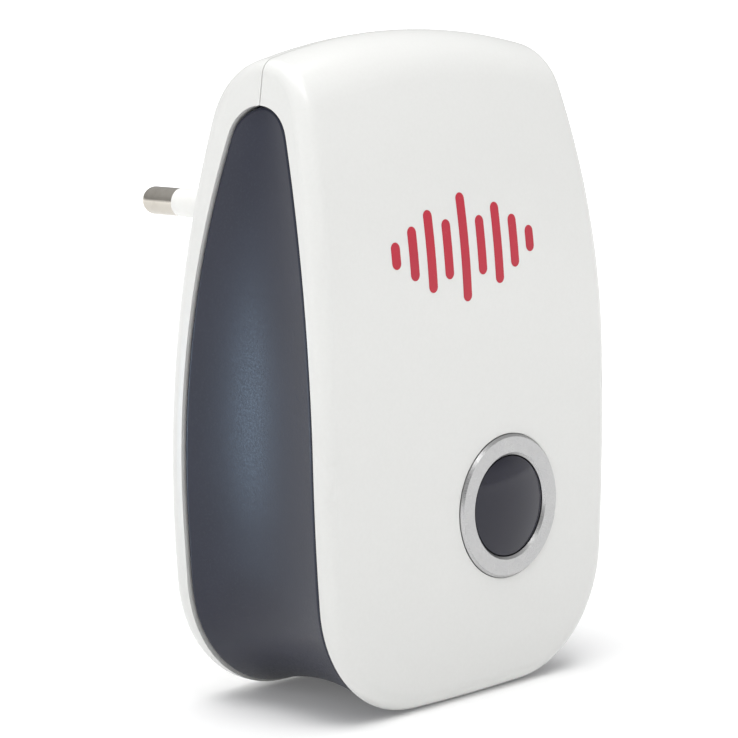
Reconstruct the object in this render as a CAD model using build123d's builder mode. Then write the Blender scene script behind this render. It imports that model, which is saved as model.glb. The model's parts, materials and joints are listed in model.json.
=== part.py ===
"""Plug-in ultrasonic pest repeller: moulded covers, waisted smoked band, lit push button and inner parts.

The origin lies midway between the plug pins on the face that meets the socket. +Y runs into the wall, +Z is
up and the front cover faces -Y. All sizes are in millimetres.
"""
from build123d import *
import os
from math import acos, asin, cos, degrees, pi, radians, sin, sqrt

# ---- plug: two 4 mm pins, 19 mm apart, 19 mm long ----
PIN_SPACING = 19.0
PIN_LENGTH = 19.0
PIN_R = 2.0
PIN_BARE = 6.9
PIN_CORE_R = 1.5
PIN_COLLAR_R = 2.9
PIN_COLLAR = 1.5
PIN_TAIL_Y = -13.8
SLEEVE_ROOT_R = 2.75
SLEEVE_SEAT = 3.0
PLINTH_WIDTH = 34.0
PLINTH_HEIGHT = 13.6
PLINTH_CORNER = 5.5
PLINTH_BACK_Y = -10.4

# ---- case: overall places in the plug's frame ----
TOP_Z = 24.6
BOTTOM_Z = -66.0
REAR_Y = -4.0
FRONT_Y = -34.2
PARTING_Y = -20.8
PARTING_GAP = 0.14
WALL = 1.8
EDGE_R = 2.4

# ---- case: front outline, arcs that run into each other ----
HALF_WIDTH = 29.1
WIDEST_Z = BOTTOM_Z + 39.4
SIDE_R = 308.0
CORNER_R = 17.8
CORNER_RISE = 17.95
OVER_TOP = 8.0

# ---- case: side profile, a large and a small arc on each side of the apex ----
CROWN_R = 106.0
FRONT_ARCH = (113.0, 8.5)
REAR_ARCH = (218.0, 10.2)

# ---- band: side profile, waist and flange ----
BAND_APEX_Z = 15.9
BAND_FRONT_Y = -32.25
BAND_REAR_Y = -7.35
BAND_FRONT_ARCH = (143.0, 5.4)
BAND_REAR_ARCH = (165.0, 5.7)
BAND_GAP = 0.3
BAND_SINK = 0.08
BAND_DEPTH = 3.5
BAND_EDGE_R = 0.4
BAND_OVER_TOP = 2.0
TIP_SHARE = 0.75
WAIST = 2.2
SIDE_STEPS = 14
CORNER_STEPS = 6
FLANGE_LAP = 1.6
FLANGE_T = 1.6
FLANGE_PLAY = 0.15
FLANGE_ROOT = 2.0

# ---- button and its ring, low on the front and right of centre ----
BUTTON_X = 7.05
BUTTON_Z = -40.45
RING_R = 9.96
RING_BORE_R = 7.08
RING_PROUD = 0.5
RING_SEAT = 0.9
LENS_R = 6.88
LENS_EDGE_Y = -34.3
LENS_DOME = 0.8
LENS_FLANGE_R = 8.1
LENS_SKIN = 1.5

# ---- circuit board and fasteners ----
BOARD_Y = -18.0
BOARD_T = 1.6
BOARD_WIDTH = 31.0
BOARD_TOP_Z = 11.0
BOARD_BOTTOM_Z = -49.0
BOARD_FRONT_Y = BOARD_Y - BOARD_T
BOARD_POSTS = [(-12.0, -45.0), (12.0, 7.4)]
BOARD_CORNER = 1.0
BOARD_HOLE_R = 1.1
CASE_SCREW_X = 19.5
CASE_SCREW_Z = (-46.0, -14.0)
CASE_SCREW_BITE = 9.0
CASE_SCREW_HEAD = (2.5, 1.8)
SCREW_SEAT_Y = -9.0
SCREW_FLOOR = 1.6
SMALL_SCREW_HEAD = (1.9, 1.3)
BOARD_SCREW_BITE = 6.0
CLAMP_SCREW_BITE = 5.0
THREAD_PLAY = 0.05
CUT_OVER = 1.0

# ---- ultrasonic transducer above the grille ----
SPEAKER_Y = -19.3
SPEAKER_R = 11.5
SPEAKER_TOP_Z = -52.2
SPEAKER_WALL = 1.0
GRILLE_FLOOR_Z = BOTTOM_Z + WALL + FLANGE_PLAY + FLANGE_T
GASKET_T = 0.95
CLOTH_T = 0.2
COLLAR_PLAY = 0.3
COLLAR_T = 0.9
COLLAR_HEIGHT = 3.5
SLOT_PITCH = 3.0
SLOT_COUNT = 7
SLOT_LENGTH = 14.0
SLOT_WIDTH = 1.5

os.makedirs("parts", exist_ok=True)


def save(builder, name):
    """Labels a finished piece and writes its STEP file."""
    builder.part.label = name
    export_step(builder.part, f"parts/{name}.step")


def front_plane(y):
    """Plane at depth y seen from the front: a positive extrusion comes forward, a negative one goes back."""
    return Plane(origin=(0, y, 0), x_dir=(1, 0, 0), z_dir=(0, -1, 0))


# ---------------------------------------------------------------- outlines
def arch_turn(depth, radii):
    """Angle that the large arc turns before the small one takes over, for an apex at depth from the line."""
    large, small = radii
    return acos((large - depth) / (large - small))


def arch_rise(depth, radii):
    """Height of the apex above the start of the large arc."""
    large, small = radii
    return small + (large - small) * sin(arch_turn(depth, radii))


def arch_sketch(low_z, apex, front_y, rear_y, front_radii, rear_radii):
    """Face for the YZ plane: straight up the front and the rear, closed by tangent arcs from each side."""
    apex_y, apex_z = apex
    with BuildSketch() as arch:
        with BuildLine():
            for line_y, radii, turn_sign in ((front_y, front_radii, -1), (rear_y, rear_radii, 1)):
                depth = abs(apex_y - line_y)
                turn = degrees(arch_turn(depth, radii))
                upright = Line((line_y, low_z), (line_y, apex_z - arch_rise(depth, radii)))
                large = JernArc(upright @ 1, upright % 1, radii[0], turn_sign * turn)
                JernArc(large @ 1, large % 1, radii[1], turn_sign * (90 - turn))
            Line((front_y, low_z), (rear_y, low_z))
        make_face()
    return arch.sketch


def profile_sketch(inset):
    """Side profile of the case, from the crown's axis up, inset evenly."""
    return arch_sketch(
        TOP_Z - CROWN_R,
        (PARTING_Y, TOP_Z - inset),
        FRONT_Y + inset,
        REAR_Y - inset,
        [radius - inset for radius in FRONT_ARCH],
        [radius - inset for radius in REAR_ARCH],
    )


def teardrop_sketch(grow):
    """Side profile of the opening for the band, grown evenly."""
    return arch_sketch(
        BOTTOM_Z - 10,
        (PARTING_Y, BAND_APEX_Z + grow),
        BAND_FRONT_Y - grow,
        BAND_REAR_Y + grow,
        [radius + grow for radius in BAND_FRONT_ARCH],
        [radius + grow for radius in BAND_REAR_ARCH],
    )


SIDE_CENTRE_X = HALF_WIDTH - SIDE_R
CORNER_CENTRE_Z = BOTTOM_Z + CORNER_RISE
SIDE_DIP = asin((WIDEST_Z - CORNER_CENTRE_Z) / (SIDE_R - CORNER_R))
CORNER_CENTRE_X = SIDE_CENTRE_X + (SIDE_R - CORNER_R) * cos(SIDE_DIP)
BOTTOM_R = (CORNER_CENTRE_X**2 + CORNER_RISE**2 - CORNER_R**2) / (2 * (CORNER_RISE - CORNER_R))
BOTTOM_TURN = asin(CORNER_CENTRE_X / (BOTTOM_R - CORNER_R))
SIDE_TOP = asin((TOP_Z + OVER_TOP - WIDEST_Z) / SIDE_R)


def outline_sketch(inset):
    """Front outline of the case, inset evenly and left taller than the case."""
    with BuildSketch() as outline:
        with BuildLine():
            base = JernArc((0, BOTTOM_Z + inset), (1, 0), BOTTOM_R - inset, degrees(BOTTOM_TURN))
            corner = JernArc(base @ 1, base % 1, CORNER_R - inset, 90 - degrees(BOTTOM_TURN + SIDE_DIP))
            side = JernArc(corner @ 1, corner % 1, SIDE_R - inset, degrees(SIDE_DIP + SIDE_TOP))
            Line(side @ 1, (0, (side @ 1).Y))
            mirror(about=Plane.YZ)
        make_face()
    return outline.sketch


def block(inset):
    """Solid of the case's outer form, inset evenly: a crowned arch trimmed by the front outline."""
    with BuildPart() as form:
        with BuildSketch(Plane.YZ):
            add(profile_sketch(inset))
        revolve(axis=Axis((0, 0, TOP_Z - CROWN_R), (0, 1, 0)))
        with BuildSketch(front_plane(0)):
            add(outline_sketch(inset))
        extrude(amount=-FRONT_Y * 2, mode=Mode.INTERSECT)
    return form.part


def side_prism(grow):
    """Prism across the whole case with the band's side profile."""
    with BuildPart() as prism:
        with BuildSketch(Plane.YZ):
            add(teardrop_sketch(grow))
        extrude(amount=HALF_WIDTH + 10, both=True)
    return prism.part


def slab(y_low, y_high, z_low=BOTTOM_Z - 10, z_high=TOP_Z + 10):
    """Box across the whole case between two depths and two heights."""
    with BuildPart() as box:
        with Locations((0, (y_low + y_high) / 2, (z_low + z_high) / 2)):
            Box(2 * HALF_WIDTH + 20, y_high - y_low, z_high - z_low)
    return box.part


def tube(y_front, y_back, radius, bore=0.0, spots=((0.0, 0.0),)):
    """Round bars or tubes along Y at the given (x, z) spots."""
    with BuildPart() as bars:
        with BuildSketch(front_plane(y_back)):
            with Locations(*spots):
                Circle(radius)
                if bore:
                    Circle(bore, mode=Mode.SUBTRACT)
        extrude(amount=y_back - y_front)
    return bars.part


def bar(y_front, y_back, width, height, spots=((0.0, 0.0),), corner=0.0):
    """Rectangular bars along Y at the given (x, z) spots."""
    with BuildPart() as bars:
        with BuildSketch(front_plane(y_back)):
            with Locations(*spots):
                if corner:
                    RectangleRounded(width, height, corner)
                else:
                    Rectangle(width, height)
        extrude(amount=y_back - y_front)
    return bars.part


# ---------------------------------------------------------------- shared case solids
with BuildPart() as envelope:
    add(block(0))
    walls = envelope.faces().filter_by(GeomType.CYLINDER)
    fillet(walls.edges().filter_by(Axis.Y, reverse=True), EDGE_R)

with BuildPart() as shell:
    add(envelope.part)
    add(block(WALL), mode=Mode.SUBTRACT)

CASE_SPOTS = [(side * CASE_SCREW_X, z) for z in CASE_SCREW_Z for side in (-1, 1)]
PIN_SPOTS = [(side * PIN_SPACING / 2, 0) for side in (-1, 1)]
BUTTON_SPOT = [(BUTTON_X, BUTTON_Z)]
INNER_FRONT_Y = FRONT_Y + WALL
INNER_REAR_Y = REAR_Y - WALL

# ---------------------------------------------------------------- front cover
BOSS_R = 3.0
BOSS_PILOT_R = 1.15
BOSS_PILOT_DEPTH = 12.0
BOSS_END_PLAY = 0.2
BOSS_END_Y = SCREW_SEAT_Y - SCREW_FLOOR - BOSS_END_PLAY
POST_R = 2.4
POST_PILOT_R = 0.95
POST_PILOT_DEPTH = 8.0
RING_PLAY = 0.1
RING_COLLAR_T = 0.4
COLLAR_HOLE_PLAY = 0.05

with BuildPart() as front_posts:
    add(tube(FRONT_Y, BOSS_END_Y, BOSS_R, spots=CASE_SPOTS))
    add(tube(FRONT_Y, BOARD_FRONT_Y, POST_R, spots=BOARD_POSTS))
    add(block(WALL / 2), mode=Mode.INTERSECT)

with BuildPart() as front_cover:
    add(shell.part)
    add(slab(-60, PARTING_Y - PARTING_GAP / 2), mode=Mode.INTERSECT)
    add(side_prism(0), mode=Mode.SUBTRACT)
    add(front_posts.part)
    add(tube(BOSS_END_Y - BOSS_PILOT_DEPTH, BOSS_END_Y, BOSS_PILOT_R, spots=CASE_SPOTS), mode=Mode.SUBTRACT)
    add(
        tube(BOARD_FRONT_Y - POST_PILOT_DEPTH, BOARD_FRONT_Y, POST_PILOT_R, spots=BOARD_POSTS),
        mode=Mode.SUBTRACT,
    )
    seat_r = RING_R + RING_PLAY
    add(tube(FRONT_Y - CUT_OVER, FRONT_Y + RING_SEAT, seat_r, spots=BUTTON_SPOT), mode=Mode.SUBTRACT)
    collar_hole_r = RING_BORE_R + RING_COLLAR_T + COLLAR_HOLE_PLAY
    add(tube(FRONT_Y, INNER_FRONT_Y + CUT_OVER, collar_hole_r, spots=BUTTON_SPOT), mode=Mode.SUBTRACT)
save(front_cover, "front_cover")

# ---------------------------------------------------------------- rear cover with the plug plinth
LIP = 1.8
LIP_T = 0.9
LIP_PLAY = 0.12
LIP_OVERLAP = 0.1
LIP_END_PLAY = 0.4
PLINTH_EDGE_R = 0.8
REAR_BOSS_R = 3.7
HEAD_HOLE_R = 2.9
SHANK_HOLE_R = 1.4
CLAMP_SCREW_X = 14.4
CLAMP_PILOT_R = 0.95
CLAMP_PILOT_DEPTH = 6.0
CLAMP_SPOTS = [(side * CLAMP_SCREW_X, 0) for side in (-1, 1)]

with BuildPart() as lip_root:
    add(block(WALL - LIP_OVERLAP))
    add(block(WALL + LIP_T), mode=Mode.SUBTRACT)
    add(slab(PARTING_Y + PARTING_GAP / 2, PARTING_Y + LIP), mode=Mode.INTERSECT)

with BuildPart() as lip:
    add(block(WALL + LIP_PLAY))
    add(block(WALL + LIP_T), mode=Mode.SUBTRACT)
    add(slab(PARTING_Y - LIP, PARTING_Y + LIP / 2), mode=Mode.INTERSECT)
    add(lip_root.part)
    add(side_prism(FLANGE_LAP + LIP_END_PLAY), mode=Mode.SUBTRACT)

with BuildPart() as rear_posts:
    add(tube(SCREW_SEAT_Y - SCREW_FLOOR, REAR_Y, REAR_BOSS_R, spots=CASE_SPOTS))
    add(block(WALL / 2), mode=Mode.INTERSECT)

with BuildPart() as rear_cover:
    add(shell.part)
    add(slab(PARTING_Y + PARTING_GAP / 2, 10), mode=Mode.INTERSECT)
    add(side_prism(0), mode=Mode.SUBTRACT)
    add(lip.part)
    add(bar(PLINTH_BACK_Y, 0, PLINTH_WIDTH, PLINTH_HEIGHT, corner=PLINTH_CORNER))
    plinth_rim = rear_cover.faces().sort_by(Axis.Y)[-1].edges()
    fillet(plinth_rim, PLINTH_EDGE_R)
    add(rear_posts.part)
    add(tube(SCREW_SEAT_Y, CUT_OVER, HEAD_HOLE_R, spots=CASE_SPOTS), mode=Mode.SUBTRACT)
    floor_under = SCREW_SEAT_Y - SCREW_FLOOR - CUT_OVER
    add(tube(floor_under, CUT_OVER, SHANK_HOLE_R, spots=CASE_SPOTS), mode=Mode.SUBTRACT)
    add(tube(PLINTH_BACK_Y - CUT_OVER, CUT_OVER, PIN_CORE_R, spots=PIN_SPOTS), mode=Mode.SUBTRACT)
    add(tube(-SLEEVE_SEAT, CUT_OVER, SLEEVE_ROOT_R, spots=PIN_SPOTS), mode=Mode.SUBTRACT)
    add(tube(PLINTH_BACK_Y, PLINTH_BACK_Y + PIN_COLLAR, PIN_COLLAR_R, spots=PIN_SPOTS), mode=Mode.SUBTRACT)
    add(
        tube(PLINTH_BACK_Y, PLINTH_BACK_Y + CLAMP_PILOT_DEPTH, CLAMP_PILOT_R, spots=CLAMP_SPOTS),
        mode=Mode.SUBTRACT,
    )
save(rear_cover, "rear_cover")


# ---------------------------------------------------------------- smoked band
def rim_y(z, line_y, radii):
    """Depth of the band opening's rim at height z, on the side that starts from line_y."""
    large, small = radii
    side = 1 if line_y > PARTING_Y else -1
    depth = abs(PARTING_Y - line_y)
    arc_z = BAND_APEX_Z - arch_rise(depth, radii)
    join_z = arc_z + large * sin(arch_turn(depth, radii))
    if z <= arc_z:
        return line_y
    if z <= join_z:
        return line_y - side * (large - sqrt(large**2 - (z - arc_z) ** 2))
    over = min(z - (BAND_APEX_Z - small), TIP_SHARE * small)
    return PARTING_Y + side * sqrt(small**2 - over**2)


def band_stations():
    """Places along the outline, from the top left round the bottom to the top right: x, z, outward angle."""
    right = []
    low_angle = -SIDE_DIP
    high_angle = asin((BAND_APEX_Z + BAND_OVER_TOP - WIDEST_Z) / SIDE_R)
    for step in range(SIDE_STEPS):
        angle = high_angle + (low_angle - high_angle) * step / SIDE_STEPS
        right.append((SIDE_CENTRE_X + SIDE_R * cos(angle), WIDEST_Z + SIDE_R * sin(angle), angle))
    sweep = radians(90) - BOTTOM_TURN - SIDE_DIP
    for step in range(CORNER_STEPS + 1):
        angle = low_angle - sweep * step / CORNER_STEPS
        x = CORNER_CENTRE_X + CORNER_R * cos(angle)
        z = CORNER_CENTRE_Z + CORNER_R * sin(angle)
        right.append((x, z, angle))
    left = [(-x, z, radians(180) - angle) for x, z, angle in right]
    return left + [(0, BOTTOM_Z, radians(-90))] + right[::-1]


FULL_BAND = BAND_REAR_Y - BAND_FRONT_Y

with BuildPart() as band_skin:
    for x, z, angle in band_stations():
        y_front = rim_y(z, BAND_FRONT_Y, BAND_FRONT_ARCH)
        y_rear = rim_y(z, BAND_REAR_Y, BAND_REAR_ARCH)
        waist = WAIST * (y_rear - y_front) / FULL_BAND
        with BuildSketch(Plane(origin=(x, 0, z), x_dir=(0, 1, 0), z_dir=(-sin(angle), 0, cos(angle)))):
            with BuildLine():
                ThreePointArc((y_front, BAND_SINK), ((y_front + y_rear) / 2, waist), (y_rear, BAND_SINK))
                corners = [(y_rear, BAND_DEPTH), (y_front, BAND_DEPTH)]
                Polyline((y_rear, BAND_SINK), *corners, (y_front, BAND_SINK))
            make_face()
    loft()
    add(side_prism(-BAND_GAP), mode=Mode.INTERSECT)
    outer_face = band_skin.faces().filter_by(GeomType.BSPLINE).sort_by(SortBy.AREA)[-1]
    fillet(outer_face.edges(), BAND_EDGE_R)

with BuildPart() as smoked_band:
    add(block(WALL + FLANGE_PLAY))
    add(side_prism(FLANGE_LAP), mode=Mode.INTERSECT)
    add(side_prism(-FLANGE_ROOT), mode=Mode.SUBTRACT)
    add(band_skin.part)
    with BuildSketch(front_plane(0)):
        add(outline_sketch(WALL + FLANGE_PLAY + FLANGE_T))
    extrude(amount=-FRONT_Y * 2, mode=Mode.SUBTRACT)
    with BuildSketch(Plane.XY.offset(GRILLE_FLOOR_Z - FLANGE_T / 2)):
        with Locations((0, SPEAKER_Y)):
            Circle(SPEAKER_R + COLLAR_PLAY + COLLAR_T)
            Circle(SPEAKER_R + COLLAR_PLAY, mode=Mode.SUBTRACT)
    extrude(amount=COLLAR_HEIGHT)
    with BuildSketch(Plane.XY.offset(BOTTOM_Z - CUT_OVER)):
        with Locations((0, SPEAKER_Y)):
            with GridLocations(SLOT_PITCH, 0, SLOT_COUNT, 1):
                SlotOverall(SLOT_LENGTH, SLOT_WIDTH, rotation=90)
    extrude(amount=GRILLE_FLOOR_Z - BOTTOM_Z + 2 * CUT_OVER, mode=Mode.SUBTRACT)
save(smoked_band, "smoked_band")

# ---------------------------------------------------------------- ring round the button
RING_CHAMFER = 0.35

with BuildPart() as trim_ring:
    with BuildSketch(front_plane(FRONT_Y + RING_SEAT)):
        with Locations(*BUTTON_SPOT):
            Circle(RING_R)
    extrude(amount=RING_SEAT + RING_PROUD)
    chamfer(trim_ring.edges().group_by(Axis.Y)[0], RING_CHAMFER)
    add(tube(FRONT_Y, INNER_FRONT_Y, RING_BORE_R + RING_COLLAR_T, spots=BUTTON_SPOT))
    add(tube(FRONT_Y - CUT_OVER, INNER_FRONT_Y, RING_BORE_R, spots=BUTTON_SPOT), mode=Mode.SUBTRACT)
    bore_rim = trim_ring.edges().filter_by(GeomType.CIRCLE).group_by(Axis.Y)[0].sort_by(SortBy.LENGTH)[0]
    chamfer(bore_rim, RING_CHAMFER)
save(trim_ring, "trim_ring")

# ---------------------------------------------------------------- lit button
FLANGE_FACE_Y = INNER_FRONT_Y + 0.1
LENS_FLANGE_T = 1.0
SWITCH_HEIGHT = 5.0
SWITCH_WIDTH = 7.4
SWITCH_CORNER_R = 0.5
SWITCH_BODY_Y = BOARD_FRONT_Y - SWITCH_HEIGHT
PLUNGER_SOCKET = 3.6
PLUNGER_DIP = 1.6
PLUNGER_PLAY = 0.05
PLUNGER_TOP_Y = -28.6
PLUNGER_R = 1.7
PLUNGER_HEAD_R = 2.6
PLUNGER_HEAD = 0.7
STEM_R = 2.2
BUTTON_ORIGIN = (BUTTON_X, LENS_EDGE_Y, BUTTON_Z)
DOME_R = (LENS_R**2 + LENS_DOME**2) / (2 * LENS_DOME)

with BuildPart() as button_lens:
    with BuildSketch(Plane(origin=BUTTON_ORIGIN, x_dir=(1, 0, 0), z_dir=(0, 0, -1))):
        with BuildLine():
            face = Line((0, 2 * LENS_DOME), (LENS_R, 2 * LENS_DOME))
            skirt = Line(face @ 1, (LENS_R, LENS_EDGE_Y - FLANGE_FACE_Y))
            shoulder = Line(skirt @ 1, (LENS_FLANGE_R, LENS_EDGE_Y - FLANGE_FACE_Y))
            rim = Line(shoulder @ 1, shoulder @ 1 - Vector(0, LENS_FLANGE_T))
            foot = Line(rim @ 1, (LENS_R - LENS_SKIN, (rim @ 1).Y))
            inside = Line(foot @ 1, (LENS_R - LENS_SKIN, -LENS_SKIN))
            roof = Line(inside @ 1, (STEM_R, -LENS_SKIN))
            stem = Line(roof @ 1, (STEM_R, LENS_EDGE_Y - PLUNGER_TOP_Y))
            stem_end = Line(stem @ 1, (0, LENS_EDGE_Y - PLUNGER_TOP_Y))
            Line(stem_end @ 1, face @ 0)
        make_face()
    revolve(axis=Axis(BUTTON_ORIGIN, (0, 1, 0)))
    with Locations((BUTTON_X, LENS_EDGE_Y - LENS_DOME + DOME_R, BUTTON_Z)):
        Sphere(DOME_R, mode=Mode.INTERSECT)
save(button_lens, "button_lens")

with BuildPart() as switch_plunger:
    add(tube(PLUNGER_TOP_Y, PLUNGER_TOP_Y + PLUNGER_HEAD, PLUNGER_HEAD_R, spots=BUTTON_SPOT))
    add(tube(PLUNGER_TOP_Y, SWITCH_BODY_Y + PLUNGER_DIP, PLUNGER_R, spots=BUTTON_SPOT))
save(switch_plunger, "switch_plunger")

with BuildPart() as switch_body:
    add(bar(SWITCH_BODY_Y, BOARD_FRONT_Y, SWITCH_WIDTH, SWITCH_WIDTH, BUTTON_SPOT, SWITCH_CORNER_R))
    socket_r = PLUNGER_R + PLUNGER_PLAY
    add(tube(SWITCH_BODY_Y, SWITCH_BODY_Y + PLUNGER_SOCKET, socket_r, spots=BUTTON_SPOT), mode=Mode.SUBTRACT)
save(switch_body, "switch_body")

SPRING_WIRE_R = 0.22
SPRING_R = 2.15
SPRING_TURNS = 3.5
SPRING_END_PLAY = 0.02
SPRING_ROOM = SWITCH_BODY_Y - PLUNGER_TOP_Y - PLUNGER_HEAD
SPRING_LENGTH = SPRING_ROOM - 2 * (SPRING_WIRE_R + SPRING_END_PLAY)

with BuildPart() as switch_spring:
    with BuildLine():
        coil = Helix(
            pitch=SPRING_LENGTH / SPRING_TURNS,
            height=SPRING_LENGTH,
            radius=SPRING_R,
            center=(BUTTON_X, SWITCH_BODY_Y - SPRING_WIRE_R - SPRING_END_PLAY, BUTTON_Z),
            direction=(0, -1, 0),
        )
    with BuildSketch(Plane(origin=coil @ 0, z_dir=coil % 0)):
        Circle(SPRING_WIRE_R)
    sweep(path=coil, is_frenet=True)
save(switch_spring, "switch_spring")

# ---------------------------------------------------------------- circuit board and what stands on it
LED_SPOTS = [(BUTTON_X + side * 3.9, BUTTON_Z + 5.6) for side in (-1, 1)]
LED_R = 1.5
LED_RIM = 0.3
LED_RIM_HEIGHT = 1.0
LED_HEIGHT = 4.4
WIRE_R = 0.65
WIRE_PLAY = 0.05
WIRE_END_Y = BOARD_FRONT_Y + 0.4
SUPPLY_PAD_X = 9.5
SUPPLY_PAD_Z = 8.0
SPEAKER_WIRE_X = 4.0
SPEAKER_PAD_Z = -45.5
SUPPLY_PADS = [(side * SUPPLY_PAD_X, SUPPLY_PAD_Z) for side in (-1, 1)]
SPEAKER_PADS = [(side * SPEAKER_WIRE_X, SPEAKER_PAD_Z) for side in (-1, 1)]
BOARD_MID_Z = (BOARD_TOP_Z + BOARD_BOTTOM_Z) / 2
BOARD_HEIGHT = BOARD_TOP_Z - BOARD_BOTTOM_Z

with BuildPart() as main_board:
    add(bar(BOARD_FRONT_Y, BOARD_Y, BOARD_WIDTH, BOARD_HEIGHT, [(0, BOARD_MID_Z)], BOARD_CORNER))
    add(tube(BOARD_FRONT_Y, BOARD_Y, BOARD_HOLE_R, spots=BOARD_POSTS), mode=Mode.SUBTRACT)
    pads = SUPPLY_PADS + SPEAKER_PADS
    add(tube(BOARD_FRONT_Y, BOARD_Y, WIRE_R + WIRE_PLAY, spots=pads), mode=Mode.SUBTRACT)
save(main_board, "main_board")

with BuildPart() as indicator_leds:
    add(tube(BOARD_FRONT_Y - LED_RIM_HEIGHT, BOARD_FRONT_Y, LED_R + LED_RIM, spots=LED_SPOTS))
    add(tube(BOARD_FRONT_Y - LED_HEIGHT, BOARD_FRONT_Y, LED_R, spots=LED_SPOTS))
    fillet(indicator_leds.edges().group_by(Axis.Y)[0], LED_R * 0.8)
save(indicator_leds, "indicator_leds")

CAPACITOR_SPOTS = [(-9.0, -19.0), (-9.0, -31.0)]
CAPACITOR_R = 4.0
CAPACITOR_HEIGHT = 10.5
CAPACITOR_EDGE_R = 0.5
NECK_R = 3.75
NECK_START = 2.0
NECK_END = 1.4

with BuildPart() as electrolytic_capacitors:
    add(tube(BOARD_FRONT_Y - CAPACITOR_HEIGHT, BOARD_FRONT_Y, CAPACITOR_R, spots=CAPACITOR_SPOTS))
    fillet(electrolytic_capacitors.edges().group_by(Axis.Y)[0], CAPACITOR_EDGE_R)
    add(
        tube(BOARD_FRONT_Y - NECK_START, BOARD_FRONT_Y - NECK_END, 2 * CAPACITOR_R, NECK_R, CAPACITOR_SPOTS),
        mode=Mode.SUBTRACT,
    )
save(electrolytic_capacitors, "electrolytic_capacitors")

FILM_BOX = (13.0, 6.0, 9.0)
FILM_SPOT = [(-7.5, -1.0)]
FILM_EDGE_R = 0.4

with BuildPart() as film_capacitor:
    add(bar(BOARD_FRONT_Y - FILM_BOX[2], BOARD_FRONT_Y, FILM_BOX[0], FILM_BOX[1], FILM_SPOT))
    fillet(film_capacitor.edges(), FILM_EDGE_R)
save(film_capacitor, "film_capacitor")

INDUCTOR_SPOT = [(8.5, -22.0)]
INDUCTOR_R = 4.5
INDUCTOR_HEIGHT = 9.0
INDUCTOR_CHEEK = 1.2
INDUCTOR_CORE_R = 2.2
WINDING_R = 4.0
WINDING_PLAY = 0.05
WINDING_END_PLAY = 0.1
WINDING_FRONT_Y = BOARD_FRONT_Y - INDUCTOR_HEIGHT + INDUCTOR_CHEEK
WINDING_BACK_Y = BOARD_FRONT_Y - INDUCTOR_CHEEK

with BuildPart() as inductor_core:
    add(tube(BOARD_FRONT_Y - INDUCTOR_HEIGHT, BOARD_FRONT_Y, INDUCTOR_R, spots=INDUCTOR_SPOT))
    add(
        tube(WINDING_FRONT_Y, WINDING_BACK_Y, INDUCTOR_R + CUT_OVER, INDUCTOR_CORE_R, INDUCTOR_SPOT),
        mode=Mode.SUBTRACT,
    )
save(inductor_core, "inductor_core")

with BuildPart() as inductor_winding:
    add(
        tube(
            WINDING_FRONT_Y + WINDING_END_PLAY,
            WINDING_BACK_Y - WINDING_END_PLAY,
            WINDING_R,
            INDUCTOR_CORE_R + WINDING_PLAY,
            INDUCTOR_SPOT,
        )
    )
save(inductor_winding, "inductor_winding")

CHIP_X = 0.6
CHIP_Z = -24.0
CHIP_BOX = (4.0, 8.6, 1.5)
CHIP_LIFT = 0.2
CHIP_BEVEL = 0.2
CHIP_LEG_X = 2.5
CHIP_LEG = (1.4, 0.4, 0.9)
CHIP_PITCH = 1.27
CHIP_ROWS = [CHIP_Z + CHIP_PITCH * row for row in range(-3, 4)]
CHIP_LEGS = [(CHIP_X + side * CHIP_LEG_X, z) for side in (-1, 1) for z in CHIP_ROWS]

with BuildPart() as control_chip:
    chip_back_y = BOARD_FRONT_Y - CHIP_LIFT
    add(bar(chip_back_y - CHIP_BOX[2], chip_back_y, CHIP_BOX[0], CHIP_BOX[1], [(CHIP_X, CHIP_Z)]))
    chamfer(control_chip.edges().group_by(Axis.Y)[0], CHIP_BEVEL)
    add(bar(BOARD_FRONT_Y - CHIP_LEG[2], BOARD_FRONT_Y, CHIP_LEG[0], CHIP_LEG[1], CHIP_LEGS))
save(control_chip, "control_chip")

FUSE_FOOT = (8.5, BOARD_FRONT_Y - 2.0, -5.5)
FUSE_R = 1.7
FUSE_LENGTH = 9.0
FUSE_EDGE_R = 0.6

with BuildPart() as fuse_resistor:
    with BuildSketch(Plane(origin=FUSE_FOOT, z_dir=(0, 0, 1))):
        Circle(FUSE_R)
    extrude(amount=FUSE_LENGTH)
    fillet(fuse_resistor.edges(), FUSE_EDGE_R)
save(fuse_resistor, "fuse_resistor")

DIODE_XS = (-9.0, -5.0, -1.0, 3.0)
DIODE_Y = BOARD_Y + 1.4
DIODE_TOP_Z = -6.0
DIODE_R = 1.35
DIODE_LENGTH = 5.2
DIODE_LEAD_R = 0.35
DIODE_LEAD = 1.6

with BuildPart() as rectifier_diodes:
    for x in DIODE_XS:
        with BuildSketch(Plane(origin=(x, DIODE_Y, DIODE_TOP_Z), z_dir=(0, 0, -1))):
            Circle(DIODE_R)
        extrude(amount=DIODE_LENGTH)
    for x in DIODE_XS:
        with BuildSketch(Plane(origin=(x, DIODE_Y, DIODE_TOP_Z + DIODE_LEAD), z_dir=(0, 0, -1))):
            Circle(DIODE_LEAD_R)
        extrude(amount=DIODE_LENGTH + 2 * DIODE_LEAD)
save(rectifier_diodes, "rectifier_diodes")


def wire(points, radii):
    """Round insulated lead along straight runs joined by tangent arcs."""
    with BuildPart() as lead:
        with BuildLine():
            route = FilletPolyline(*points, radius=radii)
        with BuildSketch(Plane(origin=route @ 0, z_dir=route % 0)):
            Circle(WIRE_R)
        sweep(path=route)
    swept_share = lead.part.volume / (route.length * pi * WIRE_R**2)
    print("lead length", round(route.length, 1), "volume over section times length", round(swept_share, 4))
    return lead.part


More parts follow.
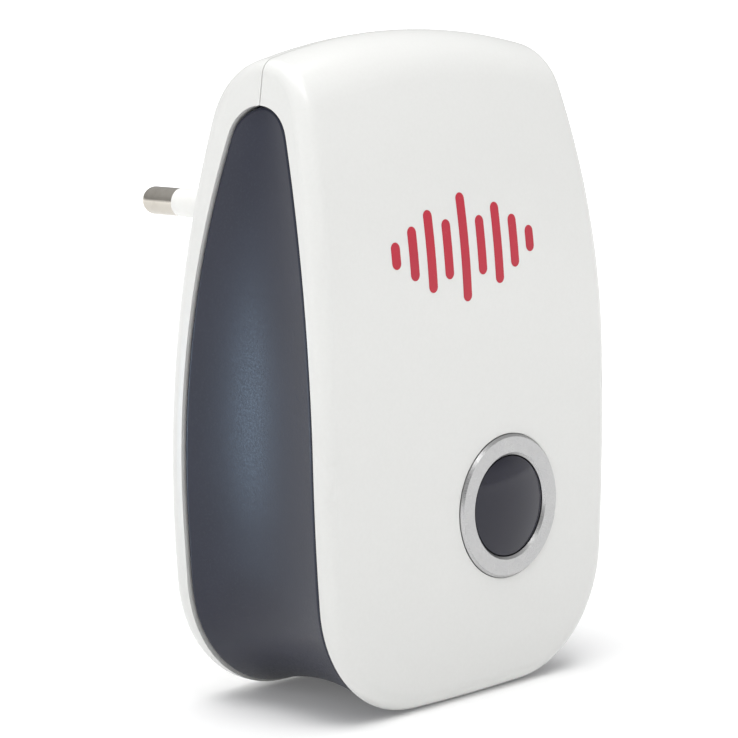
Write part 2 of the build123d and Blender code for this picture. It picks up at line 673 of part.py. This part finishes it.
WIRE_BEND = 1.4
SUPPLY_REACH = 2.4
for name, side in (("live_wire", 1), ("neutral_wire", -1)):
    pin_x = side * PIN_SPACING / 2
    pad_x = side * SUPPLY_PAD_X
    with BuildPart() as supply_wire:
        add(
            wire(
                [
                    (pin_x, PIN_TAIL_Y, 0),
                    (pin_x, PIN_TAIL_Y - SUPPLY_REACH, 0),
                    (pad_x, PIN_TAIL_Y - SUPPLY_REACH, SUPPLY_PAD_Z),
                    (pad_x, WIRE_END_Y, SUPPLY_PAD_Z),
                ],
                WIRE_BEND,
            )
        )
    save(supply_wire, name)

SPEAKER_LEAD_Y = BOARD_Y + 3.0
with BuildPart() as transducer_wires:
    for side in (-1, 1):
        pad_x = side * SPEAKER_WIRE_X
        add(
            wire(
                [
                    (pad_x, SPEAKER_LEAD_Y, SPEAKER_TOP_Z),
                    (pad_x, SPEAKER_LEAD_Y, SPEAKER_PAD_Z),
                    (pad_x, WIRE_END_Y, SPEAKER_PAD_Z),
                ],
                WIRE_BEND,
            )
        )
save(transducer_wires, "transducer_wires")

# ---------------------------------------------------------------- transducer over the grille
CLOTH_LIFT = 0.25
CLOTH_Z = GRILLE_FLOOR_Z + CLOTH_LIFT
GASKET_Z = CLOTH_Z + CLOTH_T
CASE_Z = GASKET_Z + GASKET_T
CONE_TOP_R = 3.0
CONE_LOW_R = 9.6
CONE_Z = CASE_Z + 1.6
CONE_HEIGHT = 4.0
CONE_T = 0.4
CONE_RIM = 0.6
CONE_SEAT_R = CONE_LOW_R - 0.4
DISC_R = 6.0
DISC_T = 0.6
GASKET_R = SPEAKER_R - 0.1
GASKET_BORE_R = SPEAKER_R - 2.2
CLOTH_R = SPEAKER_R - 0.3


def upright_tube(z_low, z_high, radius, bore=0.0):
    """Round bar or tube along Z on the transducer's axis."""
    with BuildPart() as piece:
        with BuildSketch(Plane.XY.offset(z_low)):
            with Locations((0, SPEAKER_Y)):
                Circle(radius)
                if bore:
                    Circle(bore, mode=Mode.SUBTRACT)
        extrude(amount=z_high - z_low)
    return piece.part


with BuildPart() as transducer_case:
    add(upright_tube(CASE_Z, SPEAKER_TOP_Z, SPEAKER_R))
    add(upright_tube(CASE_Z, SPEAKER_TOP_Z - SPEAKER_WALL, SPEAKER_R - SPEAKER_WALL), mode=Mode.SUBTRACT)
    add(upright_tube(CASE_Z, CONE_Z, SPEAKER_R - SPEAKER_WALL / 2, CONE_SEAT_R))
save(transducer_case, "transducer_case")

with BuildPart() as transducer_cone:
    with BuildSketch(Plane.YZ):
        with BuildLine():
            Polyline(
                (SPEAKER_Y, CONE_Z + CONE_HEIGHT),
                (SPEAKER_Y + CONE_TOP_R, CONE_Z + CONE_HEIGHT),
                (SPEAKER_Y + CONE_LOW_R, CONE_Z + CONE_T),
                (SPEAKER_Y + CONE_LOW_R + CONE_RIM, CONE_Z + CONE_T),
                (SPEAKER_Y + CONE_LOW_R + CONE_RIM, CONE_Z),
                (SPEAKER_Y + CONE_LOW_R, CONE_Z),
                (SPEAKER_Y + CONE_TOP_R, CONE_Z + CONE_HEIGHT - CONE_T),
                (SPEAKER_Y, CONE_Z + CONE_HEIGHT - CONE_T),
                close=True,
            )
        make_face()
    revolve(axis=Axis((0, SPEAKER_Y, 0), (0, 0, 1)))
save(transducer_cone, "transducer_cone")

with BuildPart() as piezo_disc:
    add(upright_tube(CONE_Z + CONE_HEIGHT, CONE_Z + CONE_HEIGHT + DISC_T, DISC_R))
save(piezo_disc, "piezo_disc")

with BuildPart() as transducer_gasket:
    add(upright_tube(GASKET_Z, CASE_Z, GASKET_R, GASKET_BORE_R))
save(transducer_gasket, "transducer_gasket")

with BuildPart() as dust_cloth:
    add(upright_tube(CLOTH_Z, GASKET_Z, CLOTH_R))
save(dust_cloth, "dust_cloth")

# ---------------------------------------------------------------- plug pins, sleeves and their clamp
PIN_TIP_R = 1.7
SLEEVE_END_Y = PIN_LENGTH - PIN_BARE
SLEEVE_STATIONS = ((SLEEVE_END_Y, PIN_R), (5.0, PIN_R + 0.1), (0.0, SLEEVE_ROOT_R))

for name, (x, z) in zip(("left", "right"), PIN_SPOTS):
    with BuildPart() as pin:
        add(tube(SLEEVE_END_Y, PIN_LENGTH, PIN_R, spots=[(x, z)]))
        fillet(pin.edges().group_by(Axis.Y)[-1], PIN_TIP_R)
        add(tube(PIN_TAIL_Y, SLEEVE_END_Y, PIN_CORE_R, spots=[(x, z)]))
        add(tube(PLINTH_BACK_Y, PLINTH_BACK_Y + PIN_COLLAR, PIN_COLLAR_R, spots=[(x, z)]))
    save(pin, f"{name}_pin")
    with BuildPart() as sleeve:
        for y, radius in SLEEVE_STATIONS:
            with BuildSketch(front_plane(y)):
                with Locations((x, z)):
                    Circle(radius)
        loft(ruled=True)
        add(tube(-SLEEVE_SEAT, 0, SLEEVE_ROOT_R, spots=[(x, z)]))
        add(tube(-SLEEVE_SEAT, PIN_LENGTH, PIN_CORE_R, spots=[(x, z)]), mode=Mode.SUBTRACT)
    save(sleeve, f"{name}_pin_sleeve")

CLAMP_T = 2.0
CLAMP_HEIGHT = 9.0
CLAMP_CORNER = 2.0
CLAMP_HOLE_R = 1.15
CLAMP_PIN_PLAY = 0.05
CLAMP_FRONT_Y = PLINTH_BACK_Y - CLAMP_T

with BuildPart() as pin_clamp:
    add(bar(CLAMP_FRONT_Y, PLINTH_BACK_Y, PLINTH_WIDTH, CLAMP_HEIGHT, corner=CLAMP_CORNER))
    add(tube(CLAMP_FRONT_Y, PLINTH_BACK_Y, PIN_CORE_R + CLAMP_PIN_PLAY, spots=PIN_SPOTS), mode=Mode.SUBTRACT)
    add(tube(CLAMP_FRONT_Y, PLINTH_BACK_Y, CLAMP_HOLE_R, spots=CLAMP_SPOTS), mode=Mode.SUBTRACT)
save(pin_clamp, "pin_clamp")


# ---------------------------------------------------------------- screws
HEAD_ROUNDING = 0.4
RECESS_DEPTH = 0.6
RECESS_SPAN = 1.1
RECESS_SLOT = 0.28


def screws(seat_y, end_y, shank_r, head, spots):
    """Cross-head screws along Y with their heads against seat_y, on the side away from the shank."""
    head_r, head_t = head
    away = 1 if end_y < seat_y else -1
    head_end = seat_y + away * head_t
    recess_end = head_end - away * head_t * RECESS_DEPTH
    with BuildPart() as group:
        add(tube(min(seat_y, head_end), max(seat_y, head_end), head_r, spots=spots))
        outer_edges = group.edges().group_by(Axis.Y)[-1 if away > 0 else 0]
        fillet(outer_edges, head_t * HEAD_ROUNDING)
        add(tube(min(seat_y, end_y), max(seat_y, end_y), shank_r, spots=spots))
        for width, height in ((RECESS_SPAN, RECESS_SLOT), (RECESS_SLOT, RECESS_SPAN)):
            recess = (min(head_end, recess_end), max(head_end, recess_end), head_r * width, head_r * height)
            add(bar(*recess, spots), mode=Mode.SUBTRACT)
    return group.part


with BuildPart() as case_screws:
    case_screw_end = BOSS_END_Y - CASE_SCREW_BITE
    add(screws(SCREW_SEAT_Y, case_screw_end, BOSS_PILOT_R - THREAD_PLAY, CASE_SCREW_HEAD, CASE_SPOTS))
save(case_screws, "case_screws")

with BuildPart() as board_screws:
    board_screw_end = BOARD_FRONT_Y - BOARD_SCREW_BITE
    add(screws(BOARD_Y, board_screw_end, POST_PILOT_R - THREAD_PLAY, SMALL_SCREW_HEAD, BOARD_POSTS))
save(board_screws, "board_screws")

with BuildPart() as clamp_screws:
    clamp_screw_end = PLINTH_BACK_Y + CLAMP_SCREW_BITE
    add(screws(CLAMP_FRONT_Y, clamp_screw_end, CLAMP_PILOT_R - THREAD_PLAY, SMALL_SCREW_HEAD, CLAMP_SPOTS))
save(clamp_screws, "clamp_screws")

# ---------------------------------------------------------------- blank rating label
LABEL_WIDTH = 25.0
LABEL_HEIGHT = 17.0
LABEL_Z = -47.0
LABEL_CORNER = 1.5
LABEL_T = 0.15

with BuildPart() as rating_label:
    add(bar(REAR_Y, REAR_Y + LABEL_T, LABEL_WIDTH, LABEL_HEIGHT, [(0, LABEL_Z)], LABEL_CORNER))
save(rating_label, "rating_label")
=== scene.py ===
"""Looks of the plug-in ultrasonic pest repeller: materials, printed mark, light and camera."""
import json
import math

import bmesh
import bpy
from mathutils import Matrix, Vector
from mathutils.bvhtree import BVHTree


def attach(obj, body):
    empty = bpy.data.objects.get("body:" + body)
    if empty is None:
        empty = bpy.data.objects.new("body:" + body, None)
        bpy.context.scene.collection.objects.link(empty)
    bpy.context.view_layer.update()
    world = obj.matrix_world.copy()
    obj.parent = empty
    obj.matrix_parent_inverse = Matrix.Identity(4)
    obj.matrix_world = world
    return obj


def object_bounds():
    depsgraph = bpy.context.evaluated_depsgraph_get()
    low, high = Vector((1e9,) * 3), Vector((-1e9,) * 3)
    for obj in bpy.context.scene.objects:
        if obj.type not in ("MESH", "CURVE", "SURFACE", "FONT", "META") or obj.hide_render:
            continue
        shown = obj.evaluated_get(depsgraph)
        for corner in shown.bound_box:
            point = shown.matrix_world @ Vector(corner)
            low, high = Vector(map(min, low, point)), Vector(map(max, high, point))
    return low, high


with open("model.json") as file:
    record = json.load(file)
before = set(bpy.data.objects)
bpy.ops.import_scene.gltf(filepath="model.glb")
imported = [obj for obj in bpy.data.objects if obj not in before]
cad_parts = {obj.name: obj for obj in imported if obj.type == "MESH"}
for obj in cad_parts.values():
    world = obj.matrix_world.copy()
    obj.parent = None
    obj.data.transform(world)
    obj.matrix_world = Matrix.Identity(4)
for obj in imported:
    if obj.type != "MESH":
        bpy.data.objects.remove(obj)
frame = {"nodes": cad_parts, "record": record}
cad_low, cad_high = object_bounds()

# sizes and places below are in mm, angles in radians
MM = 0.001
scene = bpy.context.scene
nodes = frame["nodes"]

# ------------------------------------------------------------------ camera at the reference viewpoint
SENSOR = 36.0
LENS = 159.283
CLIP_START = 10.0
CAMERA_PLACE = Vector((-325.7, -323.0, 45.3)) * MM
YAW = 0.8133
PITCH = 0.1500
ROLL = -0.01435


def make_camera():
    """Camera with the fitted place, turn, tilt and roll."""
    ahead = math.cos(PITCH)
    forward = Vector((math.sin(YAW) * ahead, math.cos(YAW) * ahead, -math.sin(PITCH)))
    level = Vector((math.cos(YAW), -math.sin(YAW), 0.0))
    up = level.cross(forward)
    right = math.cos(ROLL) * level + math.sin(ROLL) * up
    above = -math.sin(ROLL) * level + math.cos(ROLL) * up
    data = bpy.data.cameras.new("camera")
    data.sensor_width = SENSOR
    data.lens = LENS
    data.clip_start = CLIP_START * MM
    camera = bpy.data.objects.new("camera", data)
    turn = Matrix((right, above, -forward)).transposed()
    camera.matrix_world = Matrix.Translation(CAMERA_PLACE) @ turn.to_4x4()
    scene.collection.objects.link(camera)
    scene.camera = camera


make_camera()
scene.view_settings.view_transform = "Standard"


# ------------------------------------------------------------------ light
# the sky's brightness at heights from 0 at the horizon to 1 overhead
SKY_RAMP = ((0.0, 1.0), (0.06, 1.0), (0.15, 0.38), (0.6, 0.56))
STRIP_BLUE = (0.50, 0.74, 1.0)


def make_world():
    """Grey sky with a bright rim at the horizon and a darker belt over it."""
    world = bpy.data.worlds.new("studio")
    world.use_nodes = True
    tree = world.node_tree
    place = tree.nodes.new("ShaderNodeTexCoord")
    split = tree.nodes.new("ShaderNodeSeparateXYZ")
    tree.links.new(place.outputs["Generated"], split.inputs[0])
    ramp = tree.nodes.new("ShaderNodeValToRGB")
    while len(ramp.color_ramp.elements) < len(SKY_RAMP):
        ramp.color_ramp.elements.new(0.5)
    for element, (height, strength) in zip(ramp.color_ramp.elements, SKY_RAMP):
        element.position = height
        element.color = (strength, strength, strength, 1.0)
    tree.links.new(split.outputs["Z"], ramp.inputs["Fac"])
    tree.links.new(ramp.outputs["Color"], tree.nodes["Background"].inputs["Color"])
    scene.world = world


def area_light(name, place_mm, aim_mm, size_mm, power, colour=(1.0, 1.0, 1.0), gloss_only=False):
    """Rectangular soft light pointed at a place, its second side upright."""
    data = bpy.data.lights.new(name, "AREA")
    data.shape = "RECTANGLE"
    data.size, data.size_y = [side * MM for side in size_mm]
    data.energy = power
    data.color = colour
    lamp = bpy.data.objects.new(name, data)
    place, aim = Vector(place_mm) * MM, Vector(aim_mm) * MM
    lamp.location = place
    lamp.rotation_euler = (aim - place).to_track_quat("-Z", "Y").to_euler()
    lamp.visible_camera = False
    lamp.visible_diffuse = not gloss_only
    scene.collection.objects.link(lamp)


make_world()
area_light("overhead", (-60, 40, 900), (0, -20, -20), (900, 900), 7.1)
area_light("front_key", (-80, -190, 260), (0, -34, 24), (180, 120), 0.22)
area_light("left_fill", (-620, 60, 160), (-29, -18, -20), (420, 420), 0.36)
area_light("rear_strip", (-116, 60, -45), (-27, -20, -45), (17, 40), 0.024, STRIP_BLUE, gloss_only=True)


# ------------------------------------------------------------------ floor
FLOOR_SIDE = 12000.0
FLOOR_DROP = 0.2
FLOOR_WHITE = (0.92, 0.92, 0.92, 1.0)
FLOOR_ROUGHNESS = 0.9
GLOW_COLOUR = (1.0, 1.0, 1.0, 1.0)
GLOW_START = 100.0
GLOW_END = 800.0
GLOW_NEAR = 0.12
GLOW_FAR = 0.78


def make_floor():
    """White floor that glows a little, more so far away."""
    level = cad_low.z - FLOOR_DROP * MM
    bpy.ops.mesh.primitive_plane_add(size=FLOOR_SIDE * MM, location=(0, 0, level))
    floor = bpy.context.object
    floor.name = "floor"
    material = bpy.data.materials.new("floor")
    material.use_nodes = True
    tree = material.node_tree
    shader = tree.nodes["Principled BSDF"]
    shader.inputs["Base Color"].default_value = FLOOR_WHITE
    shader.inputs["Roughness"].default_value = FLOOR_ROUGHNESS
    shader.inputs["Emission Color"].default_value = GLOW_COLOUR
    reach = tree.nodes.new("ShaderNodeVectorMath")
    reach.operation = "LENGTH"
    tree.links.new(tree.nodes.new("ShaderNodeTexCoord").outputs["Object"], reach.inputs[0])
    glow = tree.nodes.new("ShaderNodeMapRange")
    glow.inputs["From Min"].default_value = GLOW_START * MM
    glow.inputs["From Max"].default_value = GLOW_END * MM
    glow.inputs["To Min"].default_value = GLOW_NEAR
    glow.inputs["To Max"].default_value = GLOW_FAR
    tree.links.new(reach.outputs["Value"], glow.inputs["Value"])
    tree.links.new(glow.outputs["Result"], shader.inputs["Emission Strength"])
    floor.data.materials.append(material)


make_floor()


# ------------------------------------------------------------------ material building
# a mix node's colour sockets share their names with its other kinds, so they go by place
MIX_FIRST = 6
MIX_SECOND = 7
MIX_RESULT = 2
# how far a seed moves the noise along each axis
SEED_STEP = (1.0, 0.7, 1.3)


class Surface:
    """A procedural material: a Principled shader with colour variation, roughness variation and bump."""

    def __init__(self, name, base, roughness, metallic=0.0, **constants):
        self.material = bpy.data.materials.new(name)
        self.material.use_nodes = True
        self.tree = self.material.node_tree
        self.shader = self.tree.nodes["Principled BSDF"]
        self.coordinates = self.tree.nodes.new("ShaderNodeTexCoord").outputs["Object"]
        plain = self.tree.nodes.new("ShaderNodeRGB")
        plain.outputs[0].default_value = (*base, 1.0)
        self.colour = plain.outputs[0]
        self.shader.inputs["Metallic"].default_value = metallic
        self.shader.inputs["Roughness"].default_value = roughness
        for key, value in constants.items():
            self.shader.inputs[key.replace("_", " ")].default_value = value
        self.normal = None

    def noise(self, size_mm, detail=2.0, roughness=0.5, stretch=(1, 1, 1), seed=0.0):
        """Noise whose features measure about size_mm."""
        mapping = self.tree.nodes.new("ShaderNodeMapping")
        mapping.inputs["Location"].default_value = [seed * step for step in SEED_STEP]
        mapping.inputs["Scale"].default_value = [1.0 / (size_mm * MM * share) for share in stretch]
        self.tree.links.new(self.coordinates, mapping.inputs["Vector"])
        noise = self.tree.nodes.new("ShaderNodeTexNoise")
        noise.inputs["Scale"].default_value = 1.0
        noise.inputs["Detail"].default_value = detail
        noise.inputs["Roughness"].default_value = roughness
        self.tree.links.new(mapping.outputs[0], noise.inputs["Vector"])
        return noise.outputs["Fac"]

    def remap(self, value, low, high, to_low=0.0, to_high=1.0):
        """Stretches the range low..high of a value to to_low..to_high, and holds it there outside."""
        node = self.tree.nodes.new("ShaderNodeMapRange")
        node.clamp = True
        ends = {"From Min": low, "From Max": high, "To Min": to_low, "To Max": to_high}
        for key, number in ends.items():
            node.inputs[key].default_value = number
        self.tree.links.new(value, node.inputs["Value"])
        return node.outputs["Result"]

    def tint(self, factor, rgb):
        """Mixes rgb into the colour by factor."""
        node = self.tree.nodes.new("ShaderNodeMix")
        node.data_type = "RGBA"
        self.tree.links.new(factor, node.inputs["Factor"])
        self.tree.links.new(self.colour, node.inputs[MIX_FIRST])
        node.inputs[MIX_SECOND].default_value = (*rgb, 1.0)
        self.colour = node.outputs[MIX_RESULT]

    def rough(self, value, low, high, to_low, to_high):
        """Varies the roughness with a noise value."""
        varied = self.remap(value, low, high, to_low, to_high)
        self.tree.links.new(varied, self.shader.inputs["Roughness"])

    def bump(self, height, depth_mm, strength=1.0):
        """Adds relief depth_mm deep over any relief already there."""
        node = self.tree.nodes.new("ShaderNodeBump")
        node.inputs["Strength"].default_value = strength
        node.inputs["Distance"].default_value = depth_mm * MM
        self.tree.links.new(height, node.inputs["Height"])
        if self.normal is not None:
            self.tree.links.new(self.normal, node.inputs["Normal"])
        self.normal = node.outputs["Normal"]

    def done(self):
        """Joins the colour and the relief to the shader."""
        self.tree.links.new(self.colour, self.shader.inputs["Base Color"])
        if self.normal is not None:
            self.tree.links.new(self.normal, self.shader.inputs["Normal"])
        return self.material


def white_shell():
    shine = {"Coat_Weight": 0.15, "Coat_Roughness": 0.12, "IOR": 1.46}
    s = Surface("white_shell", (0.712, 0.714, 0.698), 0.28, **shine)
    cloud = s.noise(18, detail=1)
    s.tint(s.remap(cloud, 0.0, 1.0, 0.0, 0.3), (0.695, 0.70, 0.69))
    speckle = s.noise(0.45, detail=2, seed=6.3)
    s.tint(s.remap(speckle, 0.3, 0.7, 0.0, 0.5), (0.686, 0.688, 0.672))
    smudge = s.noise(6, detail=1, seed=3.1)
    s.rough(smudge, 0.0, 1.0, 0.28, 0.305)
    s.bump(s.noise(2.2, detail=2, seed=1.7), 0.002, 0.2)
    s.bump(s.noise(0.4, detail=1, seed=5.2), 0.0006, 0.2)
    return s.done()


def smoked_band():
    s = Surface("smoked_band", (0.0065, 0.0085, 0.0225), 0.34, IOR=1.45)
    cloud = s.noise(9, detail=3)
    s.tint(s.remap(cloud, 0.35, 0.7, 0.0, 0.7), (0.009, 0.011, 0.027))
    grain = s.noise(0.32, detail=3, roughness=0.6, seed=2.4)
    s.tint(s.remap(grain, 0.5, 0.75, 0.0, 0.6), (0.018, 0.021, 0.036))
    s.rough(grain, 0.3, 0.7, 0.28, 0.42)
    s.bump(grain, 0.016, 0.5)
    return s.done()


def silver_ring():
    s = Surface("silver_ring", (0.46, 0.46, 0.46), 0.30, metallic=1.0)
    haze = s.noise(1.6, detail=3)
    s.tint(s.remap(haze, 0.4, 0.7, 0.0, 0.4), (0.42, 0.42, 0.43))
    grain = s.noise(0.12, detail=2, seed=7.0)
    s.rough(grain, 0.3, 0.7, 0.24, 0.38)
    s.bump(grain, 0.003, 0.4)
    return s.done()


def dark_lens():
    s = Surface("dark_lens", (0.006, 0.006, 0.016), 0.09, IOR=1.46)
    cloud = s.noise(5, detail=2)
    s.tint(s.remap(cloud, 0.3, 0.7, 0.0, 0.6), (0.009, 0.009, 0.022))
    s.rough(s.noise(1.3, detail=3, seed=4.4), 0.3, 0.7, 0.06, 0.13)
    s.bump(s.noise(2.5, seed=2.2), 0.002, 0.2)
    return s.done()


def red_print():
    s = Surface("red_print", (0.46, 0.010, 0.032), 0.42)
    cloud = s.noise(6, detail=3)
    s.tint(s.remap(cloud, 0.4, 0.7, 0.0, 0.5), (0.40, 0.014, 0.036))
    grain = s.noise(0.3, detail=3, seed=8.1)
    s.tint(s.remap(grain, 0.62, 0.8, 0.0, 0.3), (0.62, 0.16, 0.17))
    s.rough(grain, 0.3, 0.7, 0.36, 0.5)
    s.bump(grain, 0.002, 0.4)
    return s.done()


def plastic(name, base, second, roughness, grain_mm=0.4, depth_mm=0.01, **constants):
    """Moulded plastic with mottled colour and a fine eroded grain."""
    s = Surface(name, base, roughness, **constants)
    s.tint(s.remap(s.noise(3.5, detail=3), 0.4, 0.7), second)
    grain = s.noise(grain_mm, detail=2, seed=1.9)
    s.rough(grain, 0.3, 0.7, roughness * 0.8, min(1.0, roughness * 1.25))
    s.bump(grain, depth_mm, 0.5)
    return s.done()


def metal(name, base, second, roughness, stretch=(1, 1, 1), grain_mm=0.15, depth_mm=0.004):
    """Metal with drawn or turned grain and slight tarnish."""
    s = Surface(name, base, roughness, metallic=1.0)
    s.tint(s.remap(s.noise(1.5, detail=4), 0.45, 0.75), second)
    grain = s.noise(grain_mm, detail=3, stretch=stretch, seed=0.6)
    s.rough(grain, 0.3, 0.7, roughness * 0.75, roughness * 1.4)
    s.bump(grain, depth_mm, 0.5)
    return s.done()


NICKEL = (0.545, 0.515, 0.465)
NICKEL_DULL = (0.49, 0.46, 0.41)
LED_BLUE = (0.1, 0.2, 0.7)
LED_PALE = (0.14, 0.26, 0.8)


def finishes():
    """One material for each of the record's material slots."""
    return {
        "white_shell": white_shell(),
        "smoked_band": smoked_band(),
        "silver_ring": silver_ring(),
        "dark_lens": dark_lens(),
        "black_plastic": plastic("black_plastic", (0.02, 0.02, 0.022), (0.03, 0.03, 0.032), 0.45),
        "circuit_board": plastic("circuit_board", (0.02, 0.14, 0.05), (0.03, 0.2, 0.07), 0.35, 0.8, 0.02),
        "foam_rubber": plastic("foam_rubber", (0.03, 0.03, 0.03), (0.05, 0.05, 0.05), 0.9, 0.3, 0.08),
        "black_cloth": plastic("black_cloth", (0.02, 0.02, 0.02), (0.04, 0.04, 0.04), 0.95, 0.25, 0.06),
        "yellow_box": plastic("yellow_box", (0.72, 0.45, 0.03), (0.66, 0.4, 0.03), 0.35),
        "capacitor_sleeve": plastic("capacitor_sleeve", (0.02, 0.03, 0.12), (0.03, 0.04, 0.16), 0.3),
        "ferrite": plastic("ferrite", (0.05, 0.045, 0.045), (0.08, 0.07, 0.07), 0.6),
        "resistor_coat": plastic("resistor_coat", (0.14, 0.25, 0.18), (0.18, 0.3, 0.22), 0.6),
        "led_epoxy": plastic("led_epoxy", LED_BLUE, LED_PALE, 0.12, Transmission_Weight=0.6),
        "white_sleeve": plastic("white_sleeve", (0.82, 0.82, 0.80), (0.78, 0.78, 0.75), 0.35),
        "clamp_plastic": plastic("clamp_plastic", (0.6, 0.6, 0.56), (0.66, 0.65, 0.6), 0.5),
        "brown_insulation": plastic("brown_insulation", (0.08, 0.03, 0.012), (0.11, 0.045, 0.02), 0.4),
        "blue_insulation": plastic("blue_insulation", (0.01, 0.05, 0.3), (0.015, 0.07, 0.36), 0.4),
        "red_insulation": plastic("red_insulation", (0.35, 0.01, 0.01), (0.42, 0.02, 0.015), 0.4),
        "label_film": plastic("label_film", (0.55, 0.56, 0.57), (0.6, 0.6, 0.61), 0.3),
        "spring_steel": metal("spring_steel", (0.55, 0.55, 0.56), (0.45, 0.44, 0.43), 0.3),
        "transducer_metal": metal("transducer_metal", (0.6, 0.6, 0.61), (0.52, 0.52, 0.52), 0.35),
        "brass": metal("brass", (0.66, 0.45, 0.18), (0.55, 0.36, 0.14), 0.32),
        "copper_wire": metal("copper_wire", (0.55, 0.2, 0.08), (0.42, 0.14, 0.05), 0.35, (8, 1, 8)),
        "nickel_pin": metal("nickel_pin", NICKEL, NICKEL_DULL, 0.13, (1, 12, 1), depth_mm=0.002),
        "screw_steel": metal("screw_steel", (0.5, 0.5, 0.5), (0.38, 0.37, 0.35), 0.3),
    }


FINISHES = finishes()
for entry in frame["record"]["subparts"]:
    node = nodes[entry["node"]]
    node.data.materials.clear()
    node.data.materials.append(FINISHES[entry["material_slot"]])


# ------------------------------------------------------------------ printed mark: a plain row of level bars
INK_T = 0.02
BAR_WIDTH = 1.7
BAR_PITCH = 3.35
BAR_HEIGHTS = (3.6, 7.2, 11.0, 8.0, 14.6, 8.0, 11.0, 7.2, 3.6)
BAR_ROW = 0.35
END_ROWS = 8
# width left at a bar's very end, as a share of its full width
END_SHARE = 0.02
MARK_X = -0.7
MARK_Z = -4.1
CAST_FROM_Y = -60.0


def cover_front():
    """Search tree of the front cover's outer surface."""
    bpy.context.view_layer.update()
    cover = nodes["front_cover"]
    corners = [cover.matrix_world @ vertex.co for vertex in cover.data.vertices]
    return BVHTree.FromPolygons(corners, [polygon.vertices[:] for polygon in cover.data.polygons])


def bar_rows(height):
    """Rows of one upright bar with round ends, from the bottom: height above its middle, half width."""
    radius = BAR_WIDTH / 2
    reach = height / 2 - radius
    end = [(reach + radius * math.sin(turn), radius * math.cos(turn))
           for turn in (math.pi / 2 * step / END_ROWS for step in range(END_ROWS))]
    end.append((reach + radius, radius * END_SHARE))
    steps = max(2, round(2 * reach / BAR_ROW))
    straight = [(-reach + 2 * reach * step / steps, radius) for step in range(1, steps)]
    return [(-z, half) for z, half in reversed(end)] + straight + end


def make_mark():
    """Ink laid on the front cover's surface, just proud of it."""
    surface = cover_front()
    mesh = bpy.data.meshes.new("printed_mark")
    shape = bmesh.new()
    for index, height in enumerate(BAR_HEIGHTS):
        centre_x = MARK_X + (index - (len(BAR_HEIGHTS) - 1) / 2) * BAR_PITCH
        before = None
        for offset_z, half in bar_rows(height):
            row = []
            for x in (centre_x - half, centre_x, centre_x + half):
                start = Vector((x, CAST_FROM_Y, MARK_Z + offset_z)) * MM
                place, normal, _, _ = surface.ray_cast(start, Vector((0, 1, 0)))
                row.append(shape.verts.new(place + normal * INK_T * MM))
            if before:
                for side in (0, 1):
                    shape.faces.new((before[side], before[side + 1], row[side + 1], row[side]))
            before = row
    shape.to_mesh(mesh)
    shape.free()
    mesh.shade_smooth()
    mark = bpy.data.objects.new("printed_mark", mesh)
    scene.collection.objects.link(mark)
    mesh.materials.append(red_print())
    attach(mark, "housing")


make_mark()
